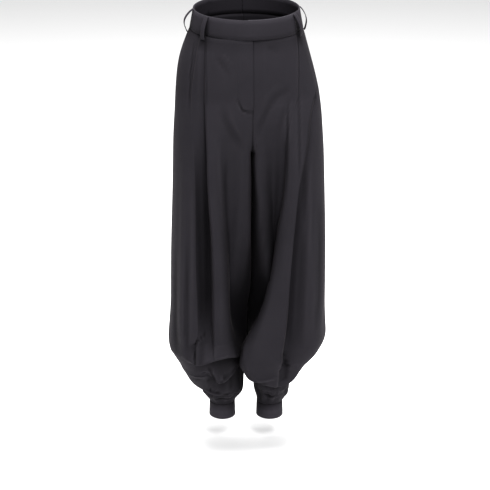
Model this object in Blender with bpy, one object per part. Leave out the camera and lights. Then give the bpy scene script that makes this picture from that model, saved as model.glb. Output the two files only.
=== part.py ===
"""Barrel leg trousers, worn and hollow: pleated fronts, plain backs, a waistband with a lapped end,
belt loops, and wide legs that blouse over narrow cuffs.

Metres, +Z up. The origin is the middle of the waist at the waistband's top edge, where a wearer
holds the trousers up. The front faces -Y and the wearer's left side is +X.
Each leg is one hollow tube of rings. A ring's shape comes from the section tables below, and
creases, soft folds and tucks then move the cloth out of that plain shape.
A place on a leg is (depth below the origin, angle round the leg): 0 degrees is the side seam,
+90 the middle of the front, -90 the middle of the back, and 180 the inseam.
"""

import math

import bpy
import numpy as np

# ---------------------------------------------------------------- driving sizes, in metres
CLOTH = 0.0018  # wall of the leg panels
BAND_CLOTH = 0.0028  # waistband: two layers and stiffening
CUFF_CLOTH = 0.0024  # cuff: two layers
LOOP_CLOTH = 0.0016  # belt loop strip
SEAM = 0.0003  # gap left at every seam
MITRE = 1.5  # the most that a wall grows at a sharp turn
PAST_EDGE = 0.004  # how far past a seam the neighbour's cloth is read, to turn as it does
SHARP_ANGLE = 50.0  # degrees between faces past which an edge is drawn sharp
TUCK_NEAR = ((0.35, 0.15), (0.75, 0.30), (1.30, 0.44))  # rings by a tuck line: widths, share of gap

BAND_HEIGHT = 0.0455
BAND_TOP = (0.1245, 0.0955)  # half width, half depth of the waist at the top edge
BAND_FOOT = (0.1330, 0.0990)  # the same at the lower edge
BAND_SHIFT = -0.0030  # the waistband sits this far to the wearer's right of the centre seams
WAIST_TILT = 0.150  # the waist drops this much to the front for each metre of depth
TAB_END = 57.0  # degrees from centre front that the lapped end reaches
TAB_LIFT = 0.0017  # how far the lapped end stands out, and its underlap in
TAB_RISE = (-20.0, 14.0)  # degrees from centre front where it starts to stand out, and over how many
UNDERLAP_START = -3.0  # degrees from centre front where the underlap starts
UNDERLAP_FADE = (3.0, 12.0)  # and past the lapped end where it comes back out, and over how many

CROTCH = 0.345  # depth of the crotch point
RISE_FRONT = 0.150  # height over which the centre front seam curves under
RISE_BACK = 0.150
RISE_POWER = 1.6
INNER_LEAST = 0.0012  # at the centre seams the middle of the wall keeps this far from the centre

FLY_END = 0.215  # depth of the fly's lower end
FLY_WINDOW = (0.206, 0.214)  # depths between which the overlap of its edges ends
FLY_WIDTH = 0.030
FLY_LAP = 0.00108  # the wearer's right front lies this far out, the left front this far in
FLY_OVER = 0.0015  # and passes the centre by this much
FLY_UNDER = 0.011  # while the left front reaches this far under it
FLY_FADE = 0.020  # height over which the lap dies away below the fly's end
FLY_RAMP = (0.006, 0.018)  # widths of the step from the lap, on the right front and the left front

CUFF_TOP = 1.005  # depth of the cuff seam
CUFF_HEIGHT = 0.0400
CREASE_STEP = 0.0035  # width of the step at a knife crease

# ---------------------------------------------------------------- ring sections of each leg
SECTION = ("depth", "outer", "inner", "seam_y", "front", "back", "square", "tilt")
SECTIONS = {
    "right": (
        (0.046, 0.1360, 0.0012, 0.000, 0.0990, 0.0990, 2.00, 0.150),
        (0.085, 0.1520, 0.0012, 0.000, 0.1065, 0.1070, 2.00, 0.130),
        (0.135, 0.1660, 0.0012, 0.000, 0.1130, 0.1170, 2.00, 0.080),
        (0.190, 0.1715, 0.0012, 0.000, 0.1170, 0.1230, 2.00, 0.035),
        (0.245, 0.1745, 0.0012, 0.000, 0.1190, 0.1250, 2.05, 0.010),
        (0.300, 0.1780, 0.0012, 0.000, 0.1200, 0.1250, 2.10, 0.000),
        (0.345, 0.1795, 0.0012, 0.000, 0.1205, 0.1240, 2.15, 0.000),
        (0.420, 0.1815, 0.0025, 0.000, 0.1210, 0.1220, 2.25, 0.000),
        (0.600, 0.1880, 0.0030, 0.000, 0.1230, 0.1220, 2.30, 0.000),
        (0.740, 0.1910, 0.0030, 0.000, 0.1240, 0.1240, 2.30, 0.000),
        (0.815, 0.1970, 0.0050, 0.000, 0.1240, 0.1250, 2.25, 0.000),
        (0.838, 0.1980, 0.0070, 0.000, 0.1210, 0.1230, 2.20, 0.000),
        (0.862, 0.1870, 0.0080, 0.000, 0.1100, 0.1160, 2.20, 0.000),
        (0.885, 0.1740, 0.0090, 0.001, 0.0990, 0.1070, 2.15, 0.000),
        (0.905, 0.1650, 0.0100, 0.002, 0.0900, 0.0980, 2.15, 0.000),
        (0.930, 0.1480, 0.0110, 0.006, 0.0780, 0.0860, 2.10, 0.000),
        (0.950, 0.1210, 0.0110, 0.009, 0.0690, 0.0750, 2.10, 0.000),
        (0.968, 0.1085, 0.0140, 0.012, 0.0600, 0.0640, 2.10, 0.000),
        (0.985, 0.1080, 0.0210, 0.015, 0.0490, 0.0520, 2.10, 0.000),
        (0.997, 0.0985, 0.0290, 0.016, 0.0400, 0.0410, 2.10, 0.000),
        (1.005, 0.0940, 0.0325, 0.016, 0.0365, 0.0365, 2.10, 0.000),
    ),
    "left": (
        (0.046, 0.1300, 0.0012, 0.000, 0.0990, 0.0990, 2.00, 0.150),
        (0.085, 0.1410, 0.0012, 0.000, 0.1065, 0.1070, 2.00, 0.130),
        (0.135, 0.1550, 0.0012, 0.000, 0.1130, 0.1170, 2.00, 0.080),
        (0.190, 0.1690, 0.0012, 0.000, 0.1170, 0.1230, 2.00, 0.035),
        (0.245, 0.1770, 0.0012, 0.000, 0.1190, 0.1250, 2.05, 0.010),
        (0.300, 0.1810, 0.0012, 0.000, 0.1200, 0.1250, 2.10, 0.000),
        (0.345, 0.1835, 0.0012, 0.000, 0.1205, 0.1240, 2.15, 0.000),
        (0.420, 0.1860, 0.0025, 0.000, 0.1210, 0.1220, 2.25, 0.000),
        (0.600, 0.1910, 0.0030, 0.000, 0.1230, 0.1220, 2.30, 0.000),
        (0.740, 0.1920, 0.0030, 0.000, 0.1240, 0.1240, 2.30, 0.000),
        (0.815, 0.1955, 0.0040, 0.000, 0.1230, 0.1250, 2.25, 0.000),
        (0.838, 0.1890, 0.0050, 0.000, 0.1200, 0.1230, 2.20, 0.000),
        (0.862, 0.1710, 0.0060, 0.000, 0.1150, 0.1160, 2.20, 0.000),
        (0.885, 0.1500, 0.0060, 0.001, 0.1090, 0.1060, 2.15, 0.000),
        (0.905, 0.1370, 0.0060, 0.001, 0.1010, 0.0960, 2.15, 0.000),
        (0.930, 0.1080, 0.0090, 0.002, 0.0860, 0.0830, 2.10, 0.000),
        (0.950, 0.1040, 0.0150, 0.003, 0.0720, 0.0720, 2.10, 0.000),
        (0.968, 0.1040, 0.0200, 0.004, 0.0590, 0.0620, 2.10, 0.000),
        (0.985, 0.1000, 0.0230, 0.004, 0.0480, 0.0500, 2.10, 0.000),
        (0.997, 0.0920, 0.0250, 0.004, 0.0400, 0.0410, 2.10, 0.000),
        (1.005, 0.0885, 0.0255, 0.004, 0.0365, 0.0365, 2.10, 0.000),
    ),
}

# A front ring is squarer from its middle to the fork, so that the two fronts stay flat up to a
# narrow gap between the legs. Rows: depth, what is added to the ring's exponent.
CORNER = ("depth", "squarer")
CORNERS = ((0.046, 0.0), (0.220, 0.0), (0.275, 2.2), (0.345, 3.2), (0.420, 2.6), (0.520, 1.6),
           (0.640, 0.7), (0.760, 0.0), (1.005, 0.0))
CORNER_SPREAD = 0.9  # radians past the front's middle over which it is added
EDGE_ROUNDS = 12  # rounds that find where a panel's edge lies on its ring

# ---------------------------------------------------------------- folds
# A crease is a knife edge that runs down a front. Rows: depth, distance from the centre plane,
# how far the cloth on its inner side stands out, how far the cloth on its outer side lies back.
CREASE = ("depth", "x", "up", "down")
CREASES = {
    ("right", "pleat_inner"): (
        (0.046, 0.1035, 0.0020, 0.0015),
        (0.100, 0.1060, 0.0025, 0.0030),
        (0.200, 0.1090, 0.0035, 0.0045),
        (0.380, 0.1075, 0.0080, 0.0170),
        (0.570, 0.0970, 0.0100, 0.0270),
        (0.700, 0.0955, 0.0100, 0.0270),
        (0.775, 0.0960, 0.0060, 0.0130),
        (0.820, 0.0960, 0.0000, 0.0000),
    ),
    ("right", "pleat_outer"): (
        (0.046, 0.1160, 0.0010, 0.0010),
        (0.100, 0.1280, 0.0020, 0.0025),
        (0.190, 0.1400, 0.0020, 0.0025),
        (0.250, 0.1420, 0.0000, 0.0000),
        (0.570, 0.1420, 0.0000, 0.0000),
        (0.785, 0.1385, 0.0000, 0.0000),
        (0.815, 0.1385, 0.0035, 0.0080),
        (0.830, 0.1385, 0.0015, 0.0030),
        (0.844, 0.1385, 0.0000, 0.0000),
    ),
    ("left", "pleat_inner"): (
        (0.046, 0.1090, 0.0010, 0.0010),
        (0.100, 0.1100, 0.0020, 0.0025),
        (0.180, 0.1080, 0.0015, 0.0015),
        (0.230, 0.0950, 0.0000, 0.0000),
        (0.300, 0.0800, -0.0040, -0.0005),
        (0.360, 0.0780, -0.0070, -0.0015),
        (0.440, 0.0730, -0.0090, -0.0020),
        (0.506, 0.0600, -0.0120, -0.0030),
        (0.600, 0.0430, -0.0160, -0.0050),
        (0.700, 0.0260, -0.0140, -0.0040),
        (0.760, 0.0180, -0.0070, -0.0020),
        (0.815, 0.0250, 0.0000, 0.0000),
        (0.900, 0.0450, 0.0000, 0.0000),
    ),
    ("left", "pleat_outer"): (
        (0.046, 0.1160, 0.0000, 0.0000),
        (0.100, 0.1330, 0.0000, 0.0000),
        (0.160, 0.1540, 0.0010, 0.0010),
        (0.190, 0.1590, 0.0025, 0.0030),
        (0.225, 0.1440, 0.0035, 0.0045),
        (0.262, 0.1350, 0.0045, 0.0065),
        (0.300, 0.1310, 0.0055, 0.0085),
        (0.357, 0.1190, 0.0070, 0.0120),
        (0.410, 0.1090, 0.0080, 0.0150),
        (0.505, 0.1000, 0.0090, 0.0190),
        (0.620, 0.0910, 0.0100, 0.0220),
        (0.765, 0.0830, 0.0100, 0.0230),
        (0.845, 0.0810, 0.0080, 0.0180),
        (0.885, 0.0730, 0.0050, 0.0100),
        (0.915, 0.0640, 0.0000, 0.0000),
    ),
}
LEAST_SHARE = {"pleat_outer": 0.18, "pleat_inner": 0.34}  # of the way round, where a ring is narrow
CREASE_REACH = (0.050, 0.034)  # how far its rise and its fall spread, inwards and outwards
FOLD_MARGIN = 0.020  # folds fade out this near a panel's side edges

# A soft fold runs down a panel. Rows: depth, distance from the centre plane, height (- is a trough).
SOFT = ("depth", "x", "height")
SOFT_FOLDS = (
    ("right", "front", 0.030, ((0.24, 0.058, 0.0), (0.36, 0.050, -0.014), (0.47, 0.042, -0.026),
                               (0.60, 0.032, -0.034), (0.72, 0.028, -0.034), (0.78, 0.026, -0.018),
                               (0.83, 0.024, 0.0))),
    ("right", "front", 0.020, ((0.28, 0.128, 0.0), (0.38, 0.126, -0.008), (0.50, 0.120, -0.014),
                               (0.68, 0.116, -0.016), (0.78, 0.116, -0.010), (0.82, 0.118, 0.0))),
    ("right", "front", 0.016, ((0.30, 0.160, 0.0), (0.42, 0.158, 0.004), (0.80, 0.158, 0.008),
                               (0.88, 0.150, 0.0))),
    ("left", "front", 0.028, ((0.22, 0.056, 0.0), (0.30, 0.052, -0.012), (0.36, 0.046, -0.020),
                              (0.45, 0.038, -0.031), (0.55, 0.030, -0.036), (0.64, 0.020, -0.034),
                              (0.70, 0.012, -0.026), (0.76, 0.008, -0.010), (0.80, 0.008, 0.0))),
    ("left", "front", 0.018, ((0.50, 0.160, 0.0), (0.70, 0.158, 0.006), (0.84, 0.150, 0.006),
                              (0.90, 0.130, 0.0))),
    ("right", "back", 0.018, ((0.24, 0.120, 0.0), (0.40, 0.125, -0.007), (0.62, 0.130, -0.012),
                              (0.80, 0.132, -0.010), (0.88, 0.130, 0.0))),
    ("right", "back", 0.020, ((0.26, 0.090, 0.0), (0.45, 0.088, 0.007), (0.65, 0.084, 0.010),
                              (0.80, 0.080, 0.008), (0.89, 0.080, 0.0))),
    ("right", "back", 0.016, ((0.36, 0.050, 0.0), (0.52, 0.046, -0.009), (0.74, 0.040, -0.013),
                              (0.86, 0.040, 0.0))),
    ("left", "back", 0.020, ((0.24, 0.125, 0.0), (0.42, 0.118, -0.008), (0.60, 0.112, -0.012),
                             (0.80, 0.110, -0.011), (0.88, 0.110, 0.0))),
    ("left", "back", 0.018, ((0.30, 0.080, 0.0), (0.46, 0.074, 0.007), (0.66, 0.068, 0.011),
                             (0.80, 0.066, 0.009), (0.89, 0.066, 0.0))),
    ("left", "back", 0.016, ((0.38, 0.036, 0.0), (0.56, 0.034, -0.008), (0.76, 0.032, -0.012),
                             (0.86, 0.034, 0.0))),
)

# A tuck line runs round a leg: where it drops, the cloth above hangs over the cloth below, which
# rides up behind it. Rows: angle, depth, drop. Then the tuck's width and how far its lip stands out.
TUCK = ("angle", "depth", "drop")
TUCKS = {
    "right": (
        (0.013, 0.011, ((-180, 0.850, 0.0), (-150, 0.868, 0.0), (-120, 0.868, 0.012),
                        (-85, 0.862, 0.015), (-50, 0.868, 0.012), (-25, 0.868, 0.0),
                        (50, 0.852, 0.0), (63, 0.850, 0.008), (75, 0.845, 0.018),
                        (86, 0.834, 0.020), (96, 0.828, 0.019), (108, 0.827, 0.018),
                        (128, 0.837, 0.016), (138, 0.844, 0.008), (148, 0.850, 0.0),
                        (180, 0.850, 0.0))),
        (0.011, 0.006, ((-180, 0.900, 0.0), (-90, 0.905, 0.0), (60, 0.898, 0.0),
                        (78, 0.886, 0.0), (84, 0.888, 0.011), (95, 0.908, 0.016),
                        (104, 0.900, 0.016), (120, 0.884, 0.015), (138, 0.874, 0.011),
                        (152, 0.880, 0.0), (180, 0.900, 0.0))),
        (0.009, 0.005, ((-180, 0.955, 0.0), (-140, 0.945, 0.0), (-100, 0.940, 0.009),
                        (-60, 0.946, 0.008), (-35, 0.946, 0.004), (-10, 0.944, 0.005),
                        (30, 0.950, 0.007), (70, 0.962, 0.007), (110, 0.970, 0.0),
                        (180, 0.960, 0.0))),
    ),
    "left": (
        (0.014, 0.005, ((-180, 0.872, 0.0), (-155, 0.876, 0.0), (-120, 0.872, 0.012),
                        (-80, 0.866, 0.014), (-45, 0.870, 0.010), (-20, 0.872, 0.0),
                        (90, 0.872, 0.0), (180, 0.868, 0.0))),
        (0.014, 0.006, ((-180, 0.914, 0.0), (-60, 0.912, 0.0), (45, 0.905, 0.0),
                        (60, 0.906, 0.012), (69, 0.910, 0.018), (83, 0.916, 0.020),
                        (94, 0.918, 0.020), (112, 0.911, 0.020), (130, 0.905, 0.018),
                        (150, 0.904, 0.012), (168, 0.906, 0.0), (180, 0.908, 0.0))),
        (0.009, 0.005, ((-180, 0.960, 0.0), (-130, 0.948, 0.0), (-95, 0.944, 0.009),
                        (-60, 0.948, 0.007), (-40, 0.948, 0.004), (-15, 0.947, 0.003),
                        (0, 0.947, 0.003), (20, 0.948, 0.005), (50, 0.955, 0.005), (75, 0.964, 0.0),
                        (180, 0.962, 0.0))),
    ),
}

# A sway pushes part of a ring sideways. Rows: depth, middle angle, how far towards the centre
# plane, how far forwards. Then how far it spreads each way round, towards the side and the inseam.
SWAY = ("depth", "angle", "inwards", "forwards")
SWAY_MARGIN = 22.0  # and it fades out this many degrees before the inseam
SWAYS = (
    ("left", 34.0, 16.0, ((0.540, 146.0, 0.000, 0.000), (0.640, 146.0, 0.000, 0.016),
                          (0.700, 146.0, 0.002, 0.030), (0.770, 144.0, 0.018, 0.036),
                          (0.805, 142.0, 0.041, 0.034), (0.862, 140.0, 0.052, 0.030),
                          (0.890, 138.0, 0.026, 0.016), (0.920, 136.0, 0.008, 0.005),
                          (0.945, 136.0, 0.000, 0.000))),
    ("right", 14.0, 22.0, ((0.560, 154.0, 0.000, 0.000), (0.660, 154.0, 0.000, -0.010),
                           (0.760, 153.0, -0.006, -0.022), (0.830, 152.0, 0.000, -0.026),
                           (0.880, 150.0, 0.000, -0.020), (0.930, 150.0, 0.000, 0.000))),
    ("right", 12.0, 12.0, ((0.360, 160.0, 0.000, 0.000), (0.420, 160.0, 0.009, 0.000),
                           (0.700, 160.0, 0.010, 0.000), (0.780, 160.0, 0.000, 0.000))),
    ("left", 12.0, 12.0, ((0.360, 160.0, 0.000, 0.000), (0.420, 160.0, -0.007, 0.000),
                          (0.700, 160.0, -0.008, 0.000), (0.780, 160.0, 0.000, 0.000))),
    ("right", 12.0, 12.0, ((0.360, -160.0, 0.000, 0.000), (0.420, -160.0, -0.006, 0.000),
                           (0.720, -160.0, -0.006, 0.000), (0.800, -160.0, -0.013, 0.000),
                           (0.860, -160.0, -0.006, 0.000), (0.920, -160.0, 0.000, 0.000))),
    ("left", 12.0, 12.0, ((0.360, -160.0, 0.000, 0.000), (0.420, -160.0, 0.009, 0.000),
                          (0.720, -160.0, 0.010, 0.000), (0.800, -160.0, 0.018, 0.000),
                          (0.860, -160.0, 0.010, 0.000), (0.920, -160.0, 0.000, 0.000))),
)

GATHERS = 11  # shallow upright waves round the leg just above the cuff
GATHERS_ACROSS = (7, 0.35)  # and fewer, lower ones that make them uneven
GATHER_TURN = 0.6  # the left leg's waves are turned by this many radians
GATHER_HEIGHT = 0.0030
GATHER_ZONE = (0.940, 0.980, 1.003)  # depths where the waves start, are deepest and end

# ---------------------------------------------------------------- cuffs and belt loops
CUFF = {  # centre across and back, half width at top and foot, half depth at top and foot
    "right": (0.0632, 0.016, 0.0308, 0.0320, 0.0365, 0.0372),
    "left": (0.0570, 0.004, 0.0315, 0.0328, 0.0365, 0.0372),
}
# Belt loops: angle from centre front at the top and at the foot, and how far the strip bows out.
LOOPS = (
    ("belt_loop_front_right", -51.0, -52.0, 0.0070),
    ("belt_loop_front_left", 56.0, 62.0, 0.0075),
    ("belt_loop_side_right", -86.0, -90.0, 0.0150),
    ("belt_loop_side_left", 88.0, 91.0, 0.0100),
    ("belt_loop_back", 180.0, 180.0, 0.0070),
)
LOOP_WIDTH = 0.0125
LOOP_DROP = 0.0090  # how far the loop's foot reaches below the waistband
LOOP_EASE = 0.0005  # cloth taken up where the strip passes the waistband's lower edge
LOOP_FULLNESS = 0.8  # the bow's shape: 1 is a sine, less is fuller
LOOP_BY_TAB = 9.0  # a loop up to this many degrees past the lapped end stands out with it
SIDE_ARC = (45.0, 135.0)  # degrees from centre front between which the waist turns as at the side

# ---------------------------------------------------------------- how finely it is cut
RING_ZONES = (  # from depth, to depth, rings
    (0.046, 0.190, 4),
    (0.190, 0.206, 1),
    (0.206, 0.214, 1),
    (0.214, 0.236, 1),
    (0.236, 0.345, 5),
    (0.345, 0.790, 9),
)
TUCKS_FROM = 0.790  # below this the rings follow the tuck lines instead of staying level
TUCK_RINGS = (2, 3)  # rings above the first tuck line and below the last
TABLE_RINGS = 384  # rings and samples of the tables that distances along the cloth are read from
TABLE_SAMPLES = 161
FRONT_COLUMNS = (5, 3, 4, 3, 4)  # strips side seam to outer pleat, between pleats, then to the centre
CORNER_X = (0.032, 0.010)  # the strips lie closer between these distances from the centre plane
CORNER_FADE = (0.440, 0.640)  # and even out between these depths
BACK_COLUMNS = 15
BAND_SEGMENTS = 42
CUFF_SEGMENTS = 32
LOOP_SEGMENTS = 12

BLACK_WOOL = (0.034, 0.032, 0.036)
LEG_ROUGHNESS = 0.80
PRESSED_ROUGHNESS = 0.70


# ---------------------------------------------------------------- curves
def ease(t):
    t = np.clip(t, 0.0, 1.0)
    return t * t * (3 - 2 * t)


def curve(xs, ys, x):
    """A smooth curve through the points (xs, ys) that never overshoots them, read at x."""
    xs, ys = np.asarray(xs, float), np.asarray(ys, float)
    step = np.diff(xs)
    slope = np.diff(ys) / step
    tangent = np.zeros_like(ys)
    same = slope[:-1] * slope[1:] > 0
    mean = np.where(same, 2 / (1 / np.where(same, slope[:-1], 1) + 1 / np.where(same, slope[1:], 1)), 0)
    tangent[1:-1] = mean
    tangent[0], tangent[-1] = slope[0], slope[-1]
    x = np.clip(x, xs[0], xs[-1])
    i = np.clip(np.searchsorted(xs, x, side="right") - 1, 0, len(xs) - 2)
    t = (x - xs[i]) / step[i]
    return (
        ys[i] * (1 + 2 * t) * (1 - t) ** 2
        + tangent[i] * step[i] * t * (1 - t) ** 2
        + ys[i + 1] * t * t * (3 - 2 * t)
        - tangent[i + 1] * step[i] * t * t * (1 - t)
    )


def column(rows, names, name, x, key=None):
    """The named column of a table, as a smooth curve over its first column or over key."""
    key = names.index(key or names[0])
    return curve([r[key] for r in rows], [r[names.index(name)] for r in rows], x)


# ---------------------------------------------------------------- the plain leg
def section(side, face, depth):
    """The ring of one leg at each depth: where its middle is, its half sizes and its fork."""
    s = {name: column(SECTIONS[side], SECTION, name, depth) for name in SECTION[1:]}
    rise = RISE_FRONT if face == "front" else RISE_BACK
    above = np.clip((CROTCH - depth) / rise, 0.0, 1.0)
    s["fork"] = 1.0 - above**RISE_POWER
    s["mid"] = s["inner"] + s["fork"] * (s["outer"] - s["inner"]) / 2
    s["wide"] = s["outer"] - s["mid"]
    s["deep"] = s["front"] if face == "front" else s["back"]
    return s


def power(value, exponent):
    return np.sign(value) * np.abs(value) ** exponent


def squareness(face, depth, angle, s):
    """The ring's exponent: 2 is an oval, more is squarer."""
    squarer = column(CORNERS, CORNER, "squarer", depth) if face == "front" else 0.0
    return s["square"] + squarer * ease((angle - math.pi / 2) / CORNER_SPREAD)


def last_angle(side, face, depth, s):
    """The angle where the panel ends: at the centre seam above the crotch, at the inseam below."""
    fly = fly_window(depth) if face == "front" else np.zeros_like(depth)
    edge = np.full_like(depth, SEAM)
    angle = np.full_like(depth, math.pi)
    for _ in range(EDGE_ROUNDS):
        across = np.clip((s["mid"] - edge) / s["wide"], -1.0, 1.0)
        cosine = power(across, squareness(face, depth, angle, s) / 2)
        angle = np.pi - np.arccos(np.clip(cosine, -1, 1))
        out = s["deep"] * np.abs(np.cos(angle))
        along = s["wide"] * np.abs(np.sin(angle)) + 1e-9
        sideways = out / np.hypot(out, along)
        edge = SEAM + (INNER_LEAST - SEAM) * sideways
        edge = edge + fly * (-FLY_OVER if side == "right" else -FLY_UNDER)
    return np.where(depth >= CROTCH, np.pi, angle)


def plain(side, face, depth, angle):
    """Points of the plain leg and the level direction out of it, before any fold."""
    s = section(side, face, depth)
    exponent = 2 / squareness(face, depth, angle, s)
    x = s["mid"] + s["wide"] * power(np.cos(angle), exponent)
    off = s["deep"] * power(np.sin(angle), exponent)
    y = s["seam_y"] + (-off if face == "front" else off)
    z = -depth + s["tilt"] * y
    across = power(np.cos(angle), 2 - exponent) / s["wide"]
    away = power(np.sin(angle), 2 - exponent) / s["deep"]
    size = np.hypot(across, away)
    facing = -1 if face == "front" else 1
    out = np.stack([across / size, facing * away / size, np.zeros_like(x)], -1)
    return np.stack([x, y, z], -1), out


def fly_window(depth):
    """1 where the fly's edges overlap, 0 below its end."""
    return 1.0 - ease((depth - FLY_WINDOW[0]) / (FLY_WINDOW[1] - FLY_WINDOW[0]))


def where_x(along, across, x):
    """Distance along each ring where the ring is x from the centre plane."""
    return np.array([np.interp(-x[i], -across[i], along[i]) for i in range(len(x))])


TABLES = {}


def leg_table(side, face):
    """Closely spaced rings of the plain panel: the distance along the cloth from the side seam,
    and how far along each crease and soft fold lies."""
    if (side, face) not in TABLES:
        d = np.linspace(RING_ZONES[0][0], CUFF_TOP, TABLE_RINGS)
        end = last_angle(side, face, d, section(side, face, d))
        angles = np.linspace(0, 1, TABLE_SAMPLES)[None, :] * end[:, None]
        points, _ = plain(side, face, d[:, None] + 0 * angles, angles)
        steps = np.linalg.norm(np.diff(points, axis=1), axis=2)
        along = np.concatenate([np.zeros((len(d), 1)), np.cumsum(steps, axis=1)], axis=1)
        across = points[..., 0]
        creases = {
            name: np.maximum(
                where_x(along, across, column(rows, CREASE, "x", d)), LEAST_SHARE[name] * along[:, -1]
            )
            for (leg, name), rows in CREASES.items()
            if leg == side and face == "front"
        }
        folds = [
            (width, rows, where_x(along, across, column(rows, SOFT, "x", d)))
            for leg, where, width, rows in SOFT_FOLDS
            if (leg, where) == (side, face)
        ]
        TABLES[side, face] = {
            "depth": d, "end": end, "angles": angles, "along": along,
            "total": along[:, -1], "creases": creases, "folds": folds,
            "corner": [where_x(along, across, np.full_like(d, x)) for x in CORNER_X],
        }
    return TABLES[side, face]


def along_at(table, depth, angle):
    """Distance along the cloth at each depth and angle."""
    d, along = table["depth"], table["along"]
    row = np.clip((depth - d[0]) / (d[1] - d[0]), 0, len(d) - 1.0001)
    i = row.astype(int)
    f = row - i
    u = np.clip(angle / np.interp(depth, d, table["end"]), 0, 0.999999) * (along.shape[1] - 1)
    j = u.astype(int)
    g = u - j
    upper = along[i, j] * (1 - g) + along[i, j + 1] * g
    lower = along[i + 1, j] * (1 - g) + along[i + 1, j + 1] * g
    return upper * (1 - f) + lower * f


def angle_at(table, depth, along):
    """The angle that lies this far along the cloth at each depth."""
    d, shape = table["depth"], np.shape(depth)
    found = []
    for at, distance in zip(np.ravel(depth), np.ravel(along)):
        i = int(np.clip(np.searchsorted(d, at) - 1, 0, len(d) - 2))
        f = (at - d[i]) / (d[i + 1] - d[i])
        row = table["along"][i] * (1 - f) + table["along"][i + 1] * f
        angles = table["angles"][i] * (1 - f) + table["angles"][i + 1] * f
        found.append(np.interp(distance, row, angles))
    return np.array(found).reshape(shape)


# ---------------------------------------------------------------- folds
def crease_height(q, up, down):
    """Height of the cloth at distance q inwards from a knife crease."""
    inner = up * np.exp(-np.maximum(q - CREASE_STEP / 2, 0) / CREASE_REACH[0])
    outer = -down * np.exp(-np.maximum(-q - CREASE_STEP / 2, 0) / CREASE_REACH[1])
    across = ease(q / CREASE_STEP + 0.5)
    return outer + (inner - outer) * across


def lengthwise_folds(side, table, depth, along):
    """Height of the creases and soft folds at each point."""
    height = np.zeros_like(along)
    for name, at in table["creases"].items():
        rows = CREASES[side, name]
        q = along - np.interp(depth, table["depth"], at)
        up, down = column(rows, CREASE, "up", depth), column(rows, CREASE, "down", depth)
        height += crease_height(q, up, down)
    for width, rows, at in table["folds"]:
        q = along - np.interp(depth, table["depth"], at)
        height += column(rows, SOFT, "height", depth) * np.exp(-((q / width) ** 2))
    total = np.interp(depth, table["depth"], table["total"])
    return height * ease(along / FOLD_MARGIN) * ease((total - along) / FOLD_MARGIN)


def degrees_round(face, angle):
    return np.degrees(angle) * (1 if face == "front" else -1)


def tuck_shift(side, face, depth, angle):
    """How far the tucks move each point down and out."""
    down = np.zeros_like(depth)
    out = np.zeros_like(depth)
    signed = degrees_round(face, angle)
    for width, lip, rows in TUCKS[side]:
        middle = column(rows, TUCK, "depth", signed)
        drop = column(rows, TUCK, "drop", signed)
        t = (depth - middle) / width
        down -= drop * t * np.exp(0.5 - t * t / 2)
        out += lip * drop / max(r[2] for r in rows) * np.exp(-((t + 1) ** 2))
    return down, out


def sway_shift(side, face, depth, angle):
    """How far the sways move each point sideways and forwards."""
    across = np.zeros_like(depth)
    forward = np.zeros_like(depth)
    signed = degrees_round(face, angle)
    for leg, outward, inward, rows in SWAYS:
        if leg != side:
            continue
        middle = column(rows, SWAY, "angle", depth)
        off = signed - middle
        spread = np.exp(-((off / np.where(off < 0, outward, inward)) ** 2))
        spread = spread * ease((180.0 - np.abs(signed)) / SWAY_MARGIN)
        across -= column(rows, SWAY, "inwards", depth) * spread
        forward += column(rows, SWAY, "forwards", depth) * spread
    return across, forward


def gather_height(side, face, depth, angle):
    start, deepest, end = GATHER_ZONE
    grown = ease((depth - start) / (deepest - start)) * ease((end - depth) / (end - deepest))
    signed = angle if face == "front" else -angle
    turn = GATHER_TURN if side == "left" else 0.0
    count, share = GATHERS_ACROSS
    wave = np.cos(GATHERS * signed + turn) + share * np.cos(count * signed + 2 * turn)
    return GATHER_HEIGHT * grown * wave


def fly_height(side, face, depth, x):
    """The fly's lap: the right front rides over, the left front lies under."""
    if face != "front":
        return np.zeros_like(x)
    length = 1.0 - ease((depth - FLY_END) / FLY_FADE)
    if side == "right":
        return FLY_LAP * length * ease((FLY_WIDTH + FLY_RAMP[0] - x) / FLY_RAMP[0])
    return -FLY_LAP * length * ease((FLY_WIDTH - x) / FLY_RAMP[1])


def cloth(side, face, depth, angle):
    """Points of the leg's cloth, middle of the wall, at each depth and angle."""
    table = leg_table(side, face)
    points, out = plain(side, face, depth, angle)
    height = lengthwise_folds(side, table, depth, along_at(table, depth, angle))
    height += fly_height(side, face, depth, points[..., 0])
    height += gather_height(side, face, depth, angle)
    down, lip = tuck_shift(side, face, depth, angle)
    moved = points + out * (height + lip)[..., None]
    moved[..., 2] -= down
    across, forward = sway_shift(side, face, depth, angle)
    moved[..., 0] += across
    moved[..., 1] -= forward
    if side == "right":
        moved[..., 0] *= -1
    return moved


# ---------------------------------------------------------------- panels
def column_places(side, face):
    """How far along the cloth each column of the panel lies, on each ring of the table. A front
    has a column on each edge of each crease's step, so that the step stays sharp."""
    table = leg_table(side, face)
    d, total = table["depth"], table["total"]
    first, last = np.full_like(total, SEAM / 2), total - np.where(d >= CROTCH, SEAM / 2, 0.0)
    if face == "front":
        stops = [first]
        for name in ("pleat_outer", "pleat_inner"):
            at = table["creases"][name]
            stops += [at - CREASE_STEP / 2, at + CREASE_STEP / 2]
        counts = [FRONT_COLUMNS[0], 1, FRONT_COLUMNS[1], 1, *FRONT_COLUMNS[2:]]
        pleat, even = stops[-1], ease((d - CORNER_FADE[0]) / (CORNER_FADE[1] - CORNER_FADE[0]))
        for corner, done in zip(table["corner"], np.cumsum(FRONT_COLUMNS[2:])):
            share = pleat + (last - pleat) * done / sum(FRONT_COLUMNS[2:])
            stops.append(corner + (share - corner) * even)
        stops.append(last)
    else:
        stops, counts = [first, last], [BACK_COLUMNS]
    places = [stops[0]]
    for i, count in enumerate(counts):
        places += [stops[i] + (stops[i + 1] - stops[i]) * (j + 1) / count for j in range(count)]
    return np.stack(places, axis=1)


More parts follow.
